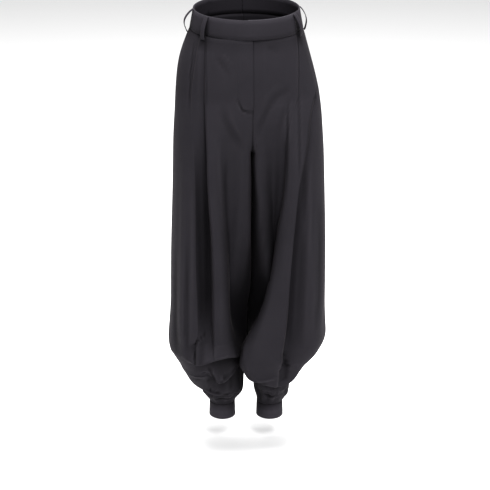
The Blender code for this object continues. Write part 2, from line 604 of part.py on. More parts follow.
def ring_depths(side, face, d, angles):
    """Depths of the rings down one column whose angles are known at the depths d. The rings close
    up on each tuck line, so that a tuck's lip and its hollow both lie on a ring."""
    found = [RING_ZONES[0][0]]
    for start, stop, count in RING_ZONES:
        found += [start + (stop - start) * (i + 1) / count for i in range(count)]
    signed = degrees_round(face, angles)
    lines = [(TUCKS_FROM, 0.0)]
    for width, _, rows in TUCKS[side]:
        past = d - column(rows, TUCK, "depth", signed)
        i = int(np.argmax(past > 0))
        share = past[i - 1] / (past[i - 1] - past[i])
        lines.append((d[i - 1] + share * (d[i] - d[i - 1]), width))
    lines.append((CUFF_TOP, 0.0))
    for k, ((start, above), (stop, below)) in enumerate(zip(lines, lines[1:])):
        gap = stop - start
        near = [start + min(t * above, f * gap) for t, f in TUCK_NEAR if above]
        far = [stop - min(t * below, f * gap) for t, f in reversed(TUCK_NEAR) if below]
        plain_count = TUCK_RINGS[0] if not above else TUCK_RINGS[1] if not below else 0
        low = near[-1] if near else start
        high = far[0] if far else stop
        between = [low + (high - low) * (i + 1) / (plain_count + 1) for i in range(plain_count)]
        found += near + between + far + [stop]
    return np.array(found)


def panel_grid(side, face):
    """Depths and angles of a panel's points."""
    table = leg_table(side, face)
    d, places = table["depth"], column_places(side, face)
    depths, angles = [], []
    for j in range(places.shape[1]):
        round_ = np.array([np.interp(places[i, j], table["along"][i], table["angles"][i])
                           for i in range(len(d))])
        rings = ring_depths(side, face, d, round_)
        depths.append(rings)
        angles.append(np.interp(rings, d, round_))
    return np.stack(depths, axis=1), np.stack(angles, axis=1)


def past_the_edges(side, face, depth, middle):
    """The panel's points with a column added past each side edge, so that the two panels that meet
    at a seam turn the same way there."""
    other = "back" if face == "front" else "front"
    table = leg_table(side, other)
    first, last = depth[:, 0], depth[:, -1]
    near = cloth(side, other, first, angle_at(table, first, np.full_like(first, PAST_EDGE)))
    total = np.interp(last, table["depth"], table["total"])
    far = cloth(side, other, last, angle_at(table, last, total - PAST_EDGE))
    straight = 2 * middle[:, -1] - middle[:, -2]
    far = np.where((last >= CROTCH)[:, None], far, straight)
    return np.concatenate([near[:, None], middle, far[:, None]], axis=1)


def wall_normals(middle):
    """Direction across the cloth at each point of a grid, longer at sharp turns so that the wall
    keeps its thickness there."""
    down = np.diff(middle, axis=0)
    across = np.diff(middle, axis=1)
    faces = np.zeros((middle.shape[0] + 1, middle.shape[1] + 1, 3))
    for di in (0, 1):
        for dj in (0, 1):
            faces[1:-1, 1:-1] += np.cross(across[di:di + len(down)], down[:, dj:dj + across.shape[1]])
    size = np.linalg.norm(faces, axis=2, keepdims=True)
    faces = faces / np.maximum(size, 1e-12)
    used = (size > 1e-12).astype(float)
    total = faces[:-1, :-1] + faces[1:, :-1] + faces[:-1, 1:] + faces[1:, 1:]
    count = used[:-1, :-1] + used[1:, :-1] + used[:-1, 1:] + used[1:, 1:]
    length = np.maximum(np.linalg.norm(total, axis=2, keepdims=True), 1e-9)
    normal = total / length * np.minimum(count / length, MITRE)
    normal[[0, -1], :, 2] = 0.0
    return normal


def wall_mesh(outer, inner, flip):
    """A closed wall between two grids of points of the same shape."""
    rows, cols = outer.shape[:2]
    points = np.concatenate([outer.reshape(-1, 3), inner.reshape(-1, 3)])
    back = rows * cols
    faces = []
    for i in range(rows - 1):
        for j in range(cols - 1):
            a, b, c, e = i * cols + j, i * cols + j + 1, (i + 1) * cols + j + 1, (i + 1) * cols + j
            faces.append((a, b, c, e))
            faces.append((back + a, back + e, back + c, back + b))
    rim = [j for j in range(cols)]
    rim += [i * cols + cols - 1 for i in range(1, rows)]
    rim += [(rows - 1) * cols + j for j in range(cols - 2, -1, -1)]
    rim += [i * cols for i in range(rows - 2, 0, -1)]
    for a, b in zip(rim, rim[1:] + rim[:1]):
        faces.append((b, a, back + a, back + b))
    if flip:
        faces = [f[::-1] for f in faces]
    return points, faces


def black_cloth(name, roughness):
    material = bpy.data.materials.new(name)
    material.use_nodes = True
    shader = material.node_tree.nodes["Principled BSDF"]
    shader.inputs["Base Color"].default_value = (*BLACK_WOOL, 1.0)
    shader.inputs["Roughness"].default_value = roughness
    shader.inputs["Metallic"].default_value = 0.0
    return material


def add_object(name, points, faces, roughness):
    mesh = bpy.data.meshes.new(name)
    mesh.from_pydata([tuple(p) for p in points], [], faces)
    mesh.materials.append(black_cloth(name + "_wool", roughness))
    mesh.shade_smooth()
    mesh.set_sharp_from_angle(angle=math.radians(SHARP_ANGLE))
    mesh.update()
    obj = bpy.data.objects.new(name, mesh)
    bpy.context.scene.collection.objects.link(obj)
    return obj


def leg_panel(side, face):
    depth, angle = panel_grid(side, face)
    middle = cloth(side, face, depth, angle)
    flip = (side == "right") != (face == "back")
    normal = wall_normals(past_the_edges(side, face, depth, middle))[:, 1:-1]
    normal = -normal if flip else normal
    outer, inner = middle + normal * CLOTH / 2, middle - normal * CLOTH / 2
    points, faces = wall_mesh(outer, inner, flip)
    return add_object(f"{face}_{side}", points, faces, LEG_ROUGHNESS)


# ---------------------------------------------------------------- waistband
def band_point(angle, height, lift):
    """A point of the waistband: angle from centre front towards the wearer's left, height up from
    its lower edge, and distance out of its middle surface."""
    t = height / BAND_HEIGHT
    a = BAND_FOOT[0] + (BAND_TOP[0] - BAND_FOOT[0]) * t + lift
    b = BAND_FOOT[1] + (BAND_TOP[1] - BAND_FOOT[1]) * t + lift
    x, y = BAND_SHIFT + a * math.sin(angle), -b * math.cos(angle)
    return (x, y, -BAND_HEIGHT + height + WAIST_TILT * y)


def strip_mesh(sections):
    """A closed strip through four-cornered sections."""
    points = [p for s in sections for p in s]
    faces = [(0, 1, 2, 3)]
    for i in range(len(sections) - 1):
        for j in range(4):
            k = (j + 1) % 4
            faces.append((4 * i + k, 4 * i + j, 4 * i + 4 + j, 4 * i + 4 + k))
    last = 4 * (len(sections) - 1)
    faces.append((last + 3, last + 2, last + 1, last))
    return points, faces


def waistband(name, start, stop, lift_at):
    """One half of the waistband, from angle start to stop in degrees."""
    sections = []
    for i in range(BAND_SEGMENTS + 1):
        degrees = start + (stop - start) * i / BAND_SEGMENTS
        lift = lift_at(degrees)
        low, high = lift - BAND_CLOTH / 2, lift + BAND_CLOTH / 2
        angle = math.radians(degrees)
        sections.append([
            band_point(angle, 0.0, low),
            band_point(angle, 0.0, high),
            band_point(angle, BAND_HEIGHT, high),
            band_point(angle, BAND_HEIGHT, low),
        ])
    points, faces = strip_mesh(sections)
    return add_object(name, points, faces, PRESSED_ROUGHNESS)


def make_waistbands():
    half_gap = math.degrees(SEAM / 2 / BAND_FOOT[1])
    rise_start, rise_width = TAB_RISE
    fade_start, fade_width = UNDERLAP_FADE
    waistband(
        "waistband_right", -180.0 + half_gap, TAB_END,
        lambda a: TAB_LIFT * float(ease((a - rise_start) / rise_width)),
    )
    waistband(
        "waistband_left", UNDERLAP_START, 180.0 - half_gap,
        lambda a: -TAB_LIFT * (1 - float(ease((a - TAB_END - fade_start) / fade_width))),
    )


# ---------------------------------------------------------------- belt loops
def hip_point(degrees, depth, lift):
    """A point this far out of the leg panels, at an angle from centre front and a depth."""
    side = "left" if degrees > 0 else "right"
    face = "front" if abs(degrees) <= 90 else "back"
    angle = np.array([[math.radians(abs(90 - abs(degrees)))]])
    at = cloth(side, face, np.array([[depth]]), angle)[0, 0]
    _, out = plain(side, face, np.array([[depth]]), angle)
    out = out[0, 0] * ((-1 if side == "right" else 1), 1, 1)
    return tuple(at + out * lift)


def loop_point(degrees, drop, bowed, lift):
    """A point of a belt loop: drop is the distance below the waistband's top edge."""
    if drop <= BAND_HEIGHT:
        return band_point(math.radians(degrees), BAND_HEIGHT - drop, bowed + lift)
    return hip_point(degrees, drop + LOOP_EASE, bowed + lift)


def belt_loop(name, top, foot, bow):
    """A flat strip sewn at the waistband's top edge and below its lower edge, bowed between."""
    seat = BAND_CLOTH / 2 + LOOP_CLOTH / 2 + SEAM
    if 0 < top < TAB_END + LOOP_BY_TAB:
        seat += TAB_LIFT
    radius = BAND_FOOT[0] if SIDE_ARC[0] < abs(top) < SIDE_ARC[1] else BAND_FOOT[1]
    half = math.degrees(LOOP_WIDTH / 2 / radius)
    sections = []
    for i in range(LOOP_SEGMENTS + 1):
        t = i / LOOP_SEGMENTS
        middle = top + (foot - top) * t
        drop = t * (BAND_HEIGHT + LOOP_DROP)
        bowed = seat + bow * math.sin(math.pi * t) ** LOOP_FULLNESS
        low, high = -LOOP_CLOTH / 2, LOOP_CLOTH / 2
        sections.append([
            loop_point(middle - half, drop, bowed, low),
            loop_point(middle - half, drop, bowed, high),
            loop_point(middle + half, drop, bowed, high),
            loop_point(middle + half, drop, bowed, low),
        ])
    points, faces = strip_mesh(sections)
    return add_object(name, points, faces, PRESSED_ROUGHNESS)


# ---------------------------------------------------------------- cuffs
def cuff(side):
    """A narrow band of doubled cloth round the ankle."""
    middle, back, wide_top, wide_foot, deep_top, deep_foot = CUFF[side]
    sign = 1 if side == "left" else -1
    profile = [
        (0.0, -CUFF_CLOTH / 2), (0.0, CUFF_CLOTH / 2),
        (0.5, CUFF_CLOTH / 2), (1.0, CUFF_CLOTH / 2),
        (1.0, -CUFF_CLOTH / 2), (0.5, -CUFF_CLOTH / 2),
    ]
    points, faces = [], []
    for i in range(CUFF_SEGMENTS):
        angle = 2 * math.pi * i / CUFF_SEGMENTS
        for t, lift in profile:
            a = wide_top + (wide_foot - wide_top) * t + lift
            b = deep_top + (deep_foot - deep_top) * t + lift
            z = -CUFF_TOP - SEAM - t * CUFF_HEIGHT
            points.append((sign * middle + a * math.cos(angle), back + b * math.sin(angle), z))
    n = len(profile)
    for i in range(CUFF_SEGMENTS):
        k = (i + 1) % CUFF_SEGMENTS
        for j in range(n):
            m = (j + 1) % n
            faces.append((i * n + j, i * n + m, k * n + m, k * n + j))
    return add_object(f"cuff_{side}", points, faces, PRESSED_ROUGHNESS)


def main():
    for obj in list(bpy.data.objects):
        bpy.data.objects.remove(obj)
    for side in ("right", "left"):
        leg_panel(side, "front")
        leg_panel(side, "back")
        cuff(side)
    make_waistbands()
    for name, top, foot, bow in LOOPS:
        belt_loop(name, top, foot, bow)


main()
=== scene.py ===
"""Barrel leg trousers: the looks of a worn, hollow pair in black wool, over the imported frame.

Metres and degrees, +Z up, the front towards -Y and the wearer's left towards +X, as in the frame.
Each cut piece of cloth gets a fine shell on its solid's form, with creases, seams and stitches.
"""
import math

import bmesh
import bpy
import numpy as np
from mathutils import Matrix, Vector
from mathutils.bvhtree import BVHTree


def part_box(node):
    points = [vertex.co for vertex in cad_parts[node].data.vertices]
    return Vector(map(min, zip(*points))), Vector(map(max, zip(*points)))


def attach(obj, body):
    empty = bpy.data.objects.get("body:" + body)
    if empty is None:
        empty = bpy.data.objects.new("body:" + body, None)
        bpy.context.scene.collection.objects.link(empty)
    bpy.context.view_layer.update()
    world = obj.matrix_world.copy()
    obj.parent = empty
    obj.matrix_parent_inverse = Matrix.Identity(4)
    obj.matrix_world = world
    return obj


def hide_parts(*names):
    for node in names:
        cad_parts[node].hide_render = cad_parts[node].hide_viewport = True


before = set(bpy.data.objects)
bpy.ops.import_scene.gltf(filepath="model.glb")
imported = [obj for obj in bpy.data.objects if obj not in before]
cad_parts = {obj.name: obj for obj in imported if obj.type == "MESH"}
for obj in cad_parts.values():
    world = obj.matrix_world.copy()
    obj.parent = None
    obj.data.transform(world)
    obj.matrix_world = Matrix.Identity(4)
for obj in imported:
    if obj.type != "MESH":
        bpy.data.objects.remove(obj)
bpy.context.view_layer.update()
TINY = 1e-9  # keeps a division by a length of zero harmless

# ---------------------------------------------------------------- camera, floor and light

CAMERA_AT = (-0.3826, -3.5796, 0.6000)
CAMERA_TURN = (71.73, 0.0, -6.0)
CAMERA_LENS_MM = 112.78
SENSOR_MM = 36.0
CAMERA_REACH = 100.0

FLOOR_BELOW_CUFFS = 0.070
FLOOR_SIZE = 60.0
FLOOR_COLOUR = (0.90, 0.90, 0.90)
FLOOR_ROUGHNESS = 0.9

BACKDROP_COLOUR = (1.0, 1.0, 1.0)
BACKDROP_STRENGTH = 0.45
# name: where it hangs, what it points at, side of its square, watts
LIGHTS = {
    "overhead": ((0.0, 0.3, 4.0), (0.0, 0.0, -1.0), 4.0, 320),
    "key": ((0.5, -3.2, 2.4), (0.0, 0.0, -0.5), 1.2, 110),
}

# ---------------------------------------------------------------- the cloth's form

WELD = 0.000005
PAIR_ANGLE = 60.0  # the most that two triangles of one four-sided face are bent
PAIR_SHAPE = 180.0  # any shape of four-sided face will do
RIM_ANGLE = 72.0  # a sharper edge of the solid is where the cloth was cut
RIM_HOLD = 1.0  # how firmly the subdivision keeps that edge
ON_RIM = 0.999  # a refined point with this much rim or more lies right on a cut edge
LEVELS = 2  # of subdivision
FIT_ROUNDS = 3  # rounds that bring the rounded cloth back onto its solid's points
FIT_SHARE = 0.8  # of the way back in each round
SEAM_MEET = 0.0006  # how far each cut edge reaches into its seam, so that no light shows through

LEG_AXIS_X = 0.090
PUSH_ACROSS = 0.6  # a crease moves the cloth less to the side than to the front or back

# Below the fork the fronts draw together: the depths where that starts, is full, fades and ends
FORK_DEPTHS = (0.315, 0.352, 0.520, 0.680)
FORK_FRONT = (-0.030, -0.080)  # y where it starts and where it is full
FORK_DRAW = 0.74  # the share of the gap that closes
FORK_REACH = 0.018  # how far to each side of the middle it is felt

STITCH_LENGTH = 0.0030
STITCH_GAP = 0.0007
STITCH_WIDTH = 0.00030
STITCH_RISE = STITCH_WIDTH / 3
STITCH_DIP = 1.6  # how far a stitch's ends go down, in rises
STITCH_RINGS = (-1.0, -0.6, 0.0, 0.6, 1.0)  # from end to end
STITCH_SIDES = 6
STITCH_END = 0.35  # the ends' thickness, as a share of the middle's
SEW_FROM_Y = -1.0  # in front of the trousers

# ---------------------------------------------------------------- painted shade and painted edge highlights

LOOK_COUNT = 40  # directions tried from each point to find how open it lies, for the painted shade
LOOK_TURN = math.pi * (1 + math.sqrt(5))  # from one to the next, the golden angle, which spreads them
LOOK_REACH = 0.30
LOOK_START = 0.0045  # off the cloth, clear of its own wall
FOLD_POWER = 1.25  # turns openness into painted shade
FOLD_LEAST = 0.38  # the darkest that the painted shade makes a fold's cloth
MARK_DEEP = 0.0025  # a trough this deep or deeper gets the most painted shade
MARK_DARK = 0.42  # and this share of its openness goes, which paints it darker
MARK_NARROW = 0.0032  # a wider trough gets less painted shade
EDGE_TURN = 0.36  # on an edge with the full painted highlight the points around lie this share of their distance below it

# ---------------------------------------------------------------- wool and thread

BLACK = (0.0266, 0.0247, 0.0290)
BLACK_WORN = (0.0338, 0.0312, 0.0366)
# painted highlight: the lighter colour laid over turned edges, standing in for the light they catch
EDGE_HIGHLIGHT = (0.050, 0.0465, 0.053)
# material: roughness, tone against the legs'
WOOLS = {
    "leg_wool": (0.80, 1.0),
    "pressed_wool": (0.74, 1.20),
    # the cuffs' copy of the wool is lighter as painted light, lifting them out of the painted shade
    # under the bloused leg
    "cuff_wool": (0.76, 1.65),
}
WOOL_SPECULAR = 0.12
SHEEN = 0.04
SHEEN_ROUGHNESS = 0.40
SHEEN_TINT = (0.80, 0.74, 0.78)

WEAVE_RADIUS = 0.11  # turns an angle round the body into a length of cloth
LEG_MIDDLE = 1.4  # a leg's middle lies this many times as far out as its cuff
TWILL_PITCH = 0.0006
WAVE_TURN = 10.0 * math.sqrt(2.0)  # radians a metre, square to the bands, of a wave texture of scale 1
TWILL_WANDER = 0.6
TWILL_DETAIL = 1.0
# scale, detail
WEAR = (14.0, 4.0)
FELT = (900.0, 3.0)
# strength, distance
TWILL_BUMP = (0.35, 0.00012)
FELT_BUMP = (0.25, 0.00020)

THREAD_BLACK = (0.012, 0.011, 0.013)
THREAD_ROUGHNESS = 0.5
THREAD_SPECULAR = 0.3
TWIST_SCALE = 900.0
TWIST_BUMP = (1.0, 0.00005)

# ---------------------------------------------------------------- creases placed one by one
# On a panel: half width, then a path of (x, z, height). A trough has a height below 0.

MARKS = {
    "front_right": (
        # the edges of the two pleats, and the cloth between them
        (0.0016, ((-0.1040, -0.058, -0.0016), (-0.1051, -0.080, -0.0018), (-0.1070, -0.150, -0.0017),
                  (-0.1080, -0.210, -0.0015), (-0.1085, -0.300, -0.0008), (-0.1083, -0.360, 0.0))),
        (0.0016, ((-0.1300, -0.066, 0.0), (-0.1328, -0.086, -0.0016), (-0.1399, -0.135, -0.0018),
                  (-0.1438, -0.199, -0.0014), (-0.1450, -0.232, 0.0))),
        (0.0070, ((-0.1165, -0.055, 0.0), (-0.1200, -0.090, 0.0025), (-0.1240, -0.150, 0.0022),
                  (-0.1260, -0.215, 0.0010), (-0.1260, -0.260, 0.0))),
        # puckers under the waistband
        (0.0042, ((-0.0720, -0.086, 0.0), (-0.0640, -0.096, 0.0011), (-0.0520, -0.108, 0.0009),
                  (-0.0440, -0.117, 0.0))),
        (0.0055, ((-0.0860, -0.092, 0.0), (-0.0740, -0.108, -0.0012), (-0.0600, -0.128, -0.0010),
                  (-0.0500, -0.146, 0.0))),
        # the pull towards the fork
        (0.0090, ((-0.0720, -0.205, 0.0), (-0.0656, -0.2415, -0.0018), (-0.0500, -0.272, -0.0024),
                  (-0.0375, -0.293, -0.0020), (-0.0200, -0.325, 0.0))),
        (0.0070, ((-0.0560, -0.205, 0.0), (-0.0490, -0.240, 0.0009), (-0.0350, -0.270, 0.0010),
                  (-0.0180, -0.300, 0.0))),
        # the foot of the fly's seam
        (0.0028, ((-0.0383, -0.185, 0.0), (-0.0305, -0.2068, -0.0016), (-0.0248, -0.2184, -0.0024),
                  (-0.0131, -0.2236, -0.0024), (-0.0030, -0.2245, -0.0014))),
        # the leg's long folds
        (0.0060, ((-0.0800, -0.290, 0.0), (-0.0790, -0.360, 0.0022), (-0.0740, -0.450, 0.0020),
                  (-0.0680, -0.540, 0.0))),
        (0.0050, ((-0.0620, -0.330, 0.0), (-0.0640, -0.390, -0.0030), (-0.0610, -0.480, -0.0034),
                  (-0.0560, -0.570, -0.0020), (-0.0540, -0.640, 0.0))),
        (0.0055, ((-0.1660, -0.500, 0.0), (-0.1700, -0.620, 0.0026), (-0.1730, -0.740, 0.0034),
                  (-0.1700, -0.820, 0.0020), (-0.1600, -0.860, 0.0))),
        (0.0050, ((-0.1560, -0.540, 0.0), (-0.1590, -0.660, -0.0032), (-0.1620, -0.770, -0.0036),
                  (-0.1600, -0.830, 0.0))),
        (0.0045, ((-0.1800, -0.560, 0.0), (-0.1830, -0.680, -0.0030), (-0.1850, -0.780, -0.0034),
                  (-0.1820, -0.840, 0.0))),
        (0.0065, ((-0.1450, -0.380, 0.0), (-0.1440, -0.500, 0.0020), (-0.1450, -0.620, 0.0028),
                  (-0.1460, -0.730, 0.0))),
        (0.0070, ((-0.1300, -0.300, 0.0), (-0.1280, -0.420, -0.0026), (-0.1260, -0.560, -0.0034),
                  (-0.1240, -0.700, -0.0030), (-0.1230, -0.780, 0.0))),
        # the tuck at the outer end of the lip, and the lip that hangs over the ankle
        (0.0022, ((-0.1419, -0.856, -0.0020), (-0.1420, -0.830, -0.0038), (-0.1415, -0.806, -0.0042),
                  (-0.1355, -0.793, -0.0034), (-0.1191, -0.781, -0.0024), (-0.1080, -0.772, 0.0))),
        (0.0080, ((-0.1300, -0.862, 0.0), (-0.1290, -0.835, -0.0030), (-0.1240, -0.805, -0.0034),
                  (-0.1150, -0.785, 0.0))),
        (0.0024, ((-0.1327, -0.869, 0.0), (-0.1134, -0.846, 0.0014), (-0.0915, -0.833, 0.0018),
                  (-0.0640, -0.829, 0.0018), (-0.0346, -0.838, 0.0))),
        # the triangular fold under the lip
        (0.0026, ((-0.1130, -0.860, 0.0), (-0.1050, -0.874, -0.0030), (-0.0965, -0.892, -0.0036),
                  (-0.0870, -0.915, -0.0034), (-0.0830, -0.925, 0.0))),
        (0.0026, ((-0.0836, -0.928, 0.0), (-0.0691, -0.902, -0.0030), (-0.0516, -0.886, -0.0030),
                  (-0.0355, -0.876, 0.0))),
        (0.0024, ((-0.0836, -0.918, 0.0), (-0.0700, -0.895, 0.0018), (-0.0530, -0.879, 0.0018),
                  (-0.0380, -0.868, 0.0))),
        # the roll at the ankle's outer side
        (0.0030, ((-0.1560, -0.905, 0.0), (-0.1400, -0.905, 0.0026), (-0.1200, -0.900, 0.0034),
                  (-0.1050, -0.898, 0.0))),
        (0.0026, ((-0.1460, -0.915, 0.0), (-0.1300, -0.914, -0.0030), (-0.1120, -0.910, -0.0036),
                  (-0.0980, -0.914, 0.0))),
        # creases above the cuff
        (0.0026, ((-0.1180, -0.938, 0.0), (-0.1120, -0.943, -0.0055), (-0.0960, -0.951, -0.0065),
                  (-0.0800, -0.957, -0.0035), (-0.0700, -0.960, 0.0))),
        (0.0030, ((-0.1160, -0.948, 0.0), (-0.1050, -0.955, 0.0028), (-0.0900, -0.962, 0.0030),
                  (-0.0740, -0.966, 0.0))),
        (0.0024, ((-0.0860, -0.972, 0.0), (-0.0740, -0.968, -0.0030), (-0.0560, -0.964, -0.0026),
                  (-0.0440, -0.960, 0.0))),
        (0.0026, ((-0.0900, -0.988, 0.0), (-0.0760, -0.985, -0.0026), (-0.0600, -0.983, -0.0034),
                  (-0.0420, -0.986, 0.0))),
        (0.0024, ((-0.0820, -0.979, 0.0), (-0.0700, -0.977, 0.0020), (-0.0520, -0.974, 0.0024),
                  (-0.0400, -0.975, 0.0))),
        # a hollow down the ankle's inner side
        (0.0060, ((-0.0520, -0.895, 0.0), (-0.0480, -0.915, -0.0026), (-0.0460, -0.935, -0.0030),
                  (-0.0480, -0.955, 0.0))),
    ),
    "front_left": (
        # the edge of the pleat, sharp at its top and softer further down
        (0.0018, ((0.1120, -0.060, -0.0014), (0.1133, -0.090, -0.0018), (0.1118, -0.140, -0.0016),
                  (0.1110, -0.177, -0.0014), (0.1104, -0.210, 0.0))),
        (0.0034, ((0.1110, -0.170, 0.0), (0.1104, -0.210, -0.0012), (0.1098, -0.260, -0.0012),
                  (0.1095, -0.340, -0.0012), (0.1090, -0.395, 0.0))),
        # the long crease from the outer hip to the inner side of the knee and on down
        (0.0028, ((0.1660, -0.180, 0.0), (0.1631, -0.189, -0.0014), (0.1534, -0.208, -0.0020),
                  (0.1440, -0.232, -0.0020), (0.1365, -0.262, -0.0020), (0.1322, -0.300, -0.0020),
                  (0.1205, -0.357, -0.0020), (0.1108, -0.410, -0.0018), (0.1018, -0.505, -0.0016),
                  (0.0928, -0.620, -0.0014), (0.0848, -0.765, -0.0014), (0.0826, -0.845, 0.0))),
        # the pull towards the fork
        (0.0080, ((0.0900, -0.165, 0.0), (0.0761, -0.179, -0.0014), (0.0542, -0.190, -0.0020),
                  (0.0337, -0.218, -0.0022), (0.0165, -0.256, -0.0016), (0.0090, -0.290, 0.0))),
        (0.0070, ((0.0700, -0.160, 0.0), (0.0520, -0.168, 0.0007), (0.0320, -0.188, 0.0008),
                  (0.0180, -0.215, 0.0))),
        (0.0080, ((0.0860, -0.200, 0.0), (0.0740, -0.225, -0.0012), (0.0620, -0.262, -0.0014),
                  (0.0520, -0.310, 0.0))),
        # a pucker under the waistband
        (0.0040, ((0.0300, -0.072, 0.0), (0.0420, -0.080, -0.0010), (0.0560, -0.082, -0.0010),
                  (0.0680, -0.080, 0.0))),
        # the leg's long folds
        (0.0030, ((0.0860, -0.190, 0.0), (0.0820, -0.230, -0.0014), (0.0810, -0.300, -0.0020),
                  (0.0800, -0.380, -0.0014), (0.0770, -0.450, 0.0))),
        (0.0050, ((0.1270, -0.345, 0.0), (0.1250, -0.390, -0.0020), (0.1240, -0.440, -0.0024),
                  (0.1240, -0.500, 0.0))),
        (0.0060, ((0.1400, -0.300, 0.0), (0.1380, -0.420, 0.0018), (0.1400, -0.560, 0.0024),
                  (0.1420, -0.680, 0.0))),
        (0.0065, ((0.1240, -0.520, 0.0), (0.1220, -0.600, -0.0026), (0.1180, -0.700, -0.0034),
                  (0.1160, -0.780, -0.0020), (0.1150, -0.830, 0.0))),
        (0.0050, ((0.1620, -0.450, 0.0), (0.1650, -0.560, -0.0022), (0.1640, -0.700, -0.0030),
                  (0.1580, -0.790, 0.0))),
        (0.0055, ((0.1740, -0.420, 0.0), (0.1780, -0.560, 0.0022), (0.1780, -0.700, 0.0026),
                  (0.1720, -0.800, 0.0))),
        # the slit at the foot of the long crease
        (0.0040, ((0.0700, -0.824, 0.0), (0.0770, -0.845, -0.0060), (0.0810, -0.862, -0.0100),
                  (0.0830, -0.882, -0.0110), (0.0820, -0.902, -0.0070), (0.0770, -0.914, 0.0))),
        (0.0032, ((0.0790, -0.846, 0.0), (0.0870, -0.868, -0.0060), (0.0900, -0.888, -0.0080),
                  (0.0880, -0.905, 0.0))),
        # the underside of the lobe that hangs over the ankle
        (0.0034, ((0.0080, -0.900, 0.0), (0.0160, -0.906, 0.0030), (0.0340, -0.905, 0.0034),
                  (0.0520, -0.900, 0.0030), (0.0640, -0.896, 0.0))),
        (0.0026, ((0.0040, -0.908, 0.0), (0.0140, -0.914, -0.0026), (0.0300, -0.914, -0.0020),
                  (0.0400, -0.912, 0.0))),
        # creases above the cuff
        (0.0030, ((0.0300, -0.938, 0.0), (0.0420, -0.944, -0.0030), (0.0560, -0.946, -0.0036),
                  (0.0740, -0.940, 0.0))),
        (0.0030, ((0.0720, -0.930, 0.0), (0.0760, -0.945, 0.0030), (0.0740, -0.965, 0.0026),
                  (0.0700, -0.985, 0.0))),
        (0.0030, ((0.0320, -0.966, 0.0), (0.0420, -0.972, -0.0024), (0.0560, -0.974, -0.0028),
                  (0.0700, -0.970, 0.0))),
        (0.0028, ((0.0380, -0.984, 0.0), (0.0500, -0.982, 0.0020), (0.0640, -0.980, 0.0024),
                  (0.0780, -0.976, 0.0))),
    ),
    "back_right": (
        # the pull from the seat towards the fork
        (0.0080, ((-0.1000, -0.110, 0.0), (-0.0860, -0.170, -0.0022), (-0.0640, -0.240, -0.0034),
                  (-0.0380, -0.300, -0.0030), (-0.0160, -0.340, 0.0))),
        (0.0070, ((-0.0700, -0.120, 0.0), (-0.0560, -0.180, 0.0018), (-0.0380, -0.240, 0.0022),
                  (-0.0180, -0.290, 0.0))),
        # the leg's long folds
        (0.0060, ((-0.1500, -0.300, 0.0), (-0.1520, -0.420, -0.0030), (-0.1540, -0.600, -0.0036),
                  (-0.1500, -0.760, 0.0))),
        (0.0055, ((-0.1080, -0.360, 0.0), (-0.1060, -0.480, -0.0028), (-0.1020, -0.640, -0.0034),
                  (-0.1000, -0.780, -0.0024), (-0.0980, -0.830, 0.0))),
        (0.0050, ((-0.0660, -0.400, 0.0), (-0.0640, -0.540, 0.0026), (-0.0600, -0.700, 0.0030),
                  (-0.0580, -0.800, 0.0))),
        (0.0045, ((-0.1700, -0.560, 0.0), (-0.1740, -0.680, 0.0024), (-0.1720, -0.800, 0.0026),
                  (-0.1600, -0.850, 0.0))),
        # creases above the cuff
        (0.0030, ((-0.1300, -0.915, 0.0), (-0.1100, -0.922, -0.0030), (-0.0860, -0.926, -0.0034),
                  (-0.0600, -0.922, 0.0))),
        (0.0028, ((-0.0980, -0.958, 0.0), (-0.0820, -0.964, -0.0028), (-0.0600, -0.966, -0.0032),
                  (-0.0420, -0.962, 0.0))),
    ),
    "back_left": (
        # the pull from the seat towards the fork
        (0.0080, ((0.1020, -0.115, 0.0), (0.0880, -0.175, -0.0022), (0.0640, -0.245, -0.0034),
                  (0.0400, -0.305, -0.0028), (0.0170, -0.340, 0.0))),
        (0.0070, ((0.0660, -0.130, 0.0), (0.0520, -0.190, 0.0018), (0.0340, -0.250, 0.0022),
                  (0.0160, -0.300, 0.0))),
        # the leg's long folds
        (0.0060, ((0.1460, -0.320, 0.0), (0.1480, -0.460, -0.0030), (0.1500, -0.620, -0.0036),
                  (0.1460, -0.780, 0.0))),
        (0.0055, ((0.0940, -0.380, 0.0), (0.0920, -0.500, -0.0028), (0.0880, -0.660, -0.0034),
                  (0.0860, -0.790, -0.0024), (0.0840, -0.840, 0.0))),
        (0.0050, ((0.0540, -0.420, 0.0), (0.0520, -0.560, 0.0026), (0.0500, -0.700, 0.0030),
                  (0.0500, -0.800, 0.0))),
        (0.0045, ((0.1720, -0.540, 0.0), (0.1760, -0.660, 0.0024), (0.1740, -0.780, 0.0026),
                  (0.1600, -0.840, 0.0))),
        # creases above the cuff
        (0.0030, ((0.1200, -0.920, 0.0), (0.1000, -0.926, -0.0030), (0.0760, -0.930, -0.0034),
                  (0.0500, -0.924, 0.0))),
        (0.0028, ((0.0900, -0.960, 0.0), (0.0740, -0.966, -0.0028), (0.0560, -0.968, -0.0032),
                  (0.0380, -0.964, 0.0))),
    ),
}

# Rows of stitches, each a piece of its own: its name, its panel and its path of (x, z)
STITCH_ROWS = (
    ("fly_stitches", "front_right", ((-0.0335, -0.062), (-0.0335, -0.120), (-0.0332, -0.185),
                                     (-0.0305, -0.2068), (-0.0248, -0.2184), (-0.0131, -0.2236),
                                     (-0.0020, -0.2245))),
    ("fly_tack_stitches", "front_right", ((-0.0015, -0.2180), (-0.0015, -0.2270))),
)

# ---------------------------------------------------------------- cloth pieces

# node: flat width and length, flat area in square metres, the node it hangs from
PANELS = {
    "front_right": (0.450, 1.10, 0.316, "waistband_right"),
    "front_left": (0.460, 1.12, 0.329, "waistband_left"),
    "back_right": (0.365, 1.05, 0.300, "waistband_right"),
    "back_left": (0.370, 1.05, 0.300, "waistband_left"),
}
# node: flat length along the band, height
BANDS = {
    "waistband_right": (0.484, 0.0455),
    "waistband_left": (0.367, 0.0455),
    "cuff_right": (0.218, 0.0400),
    "cuff_left": (0.220, 0.0400),
}
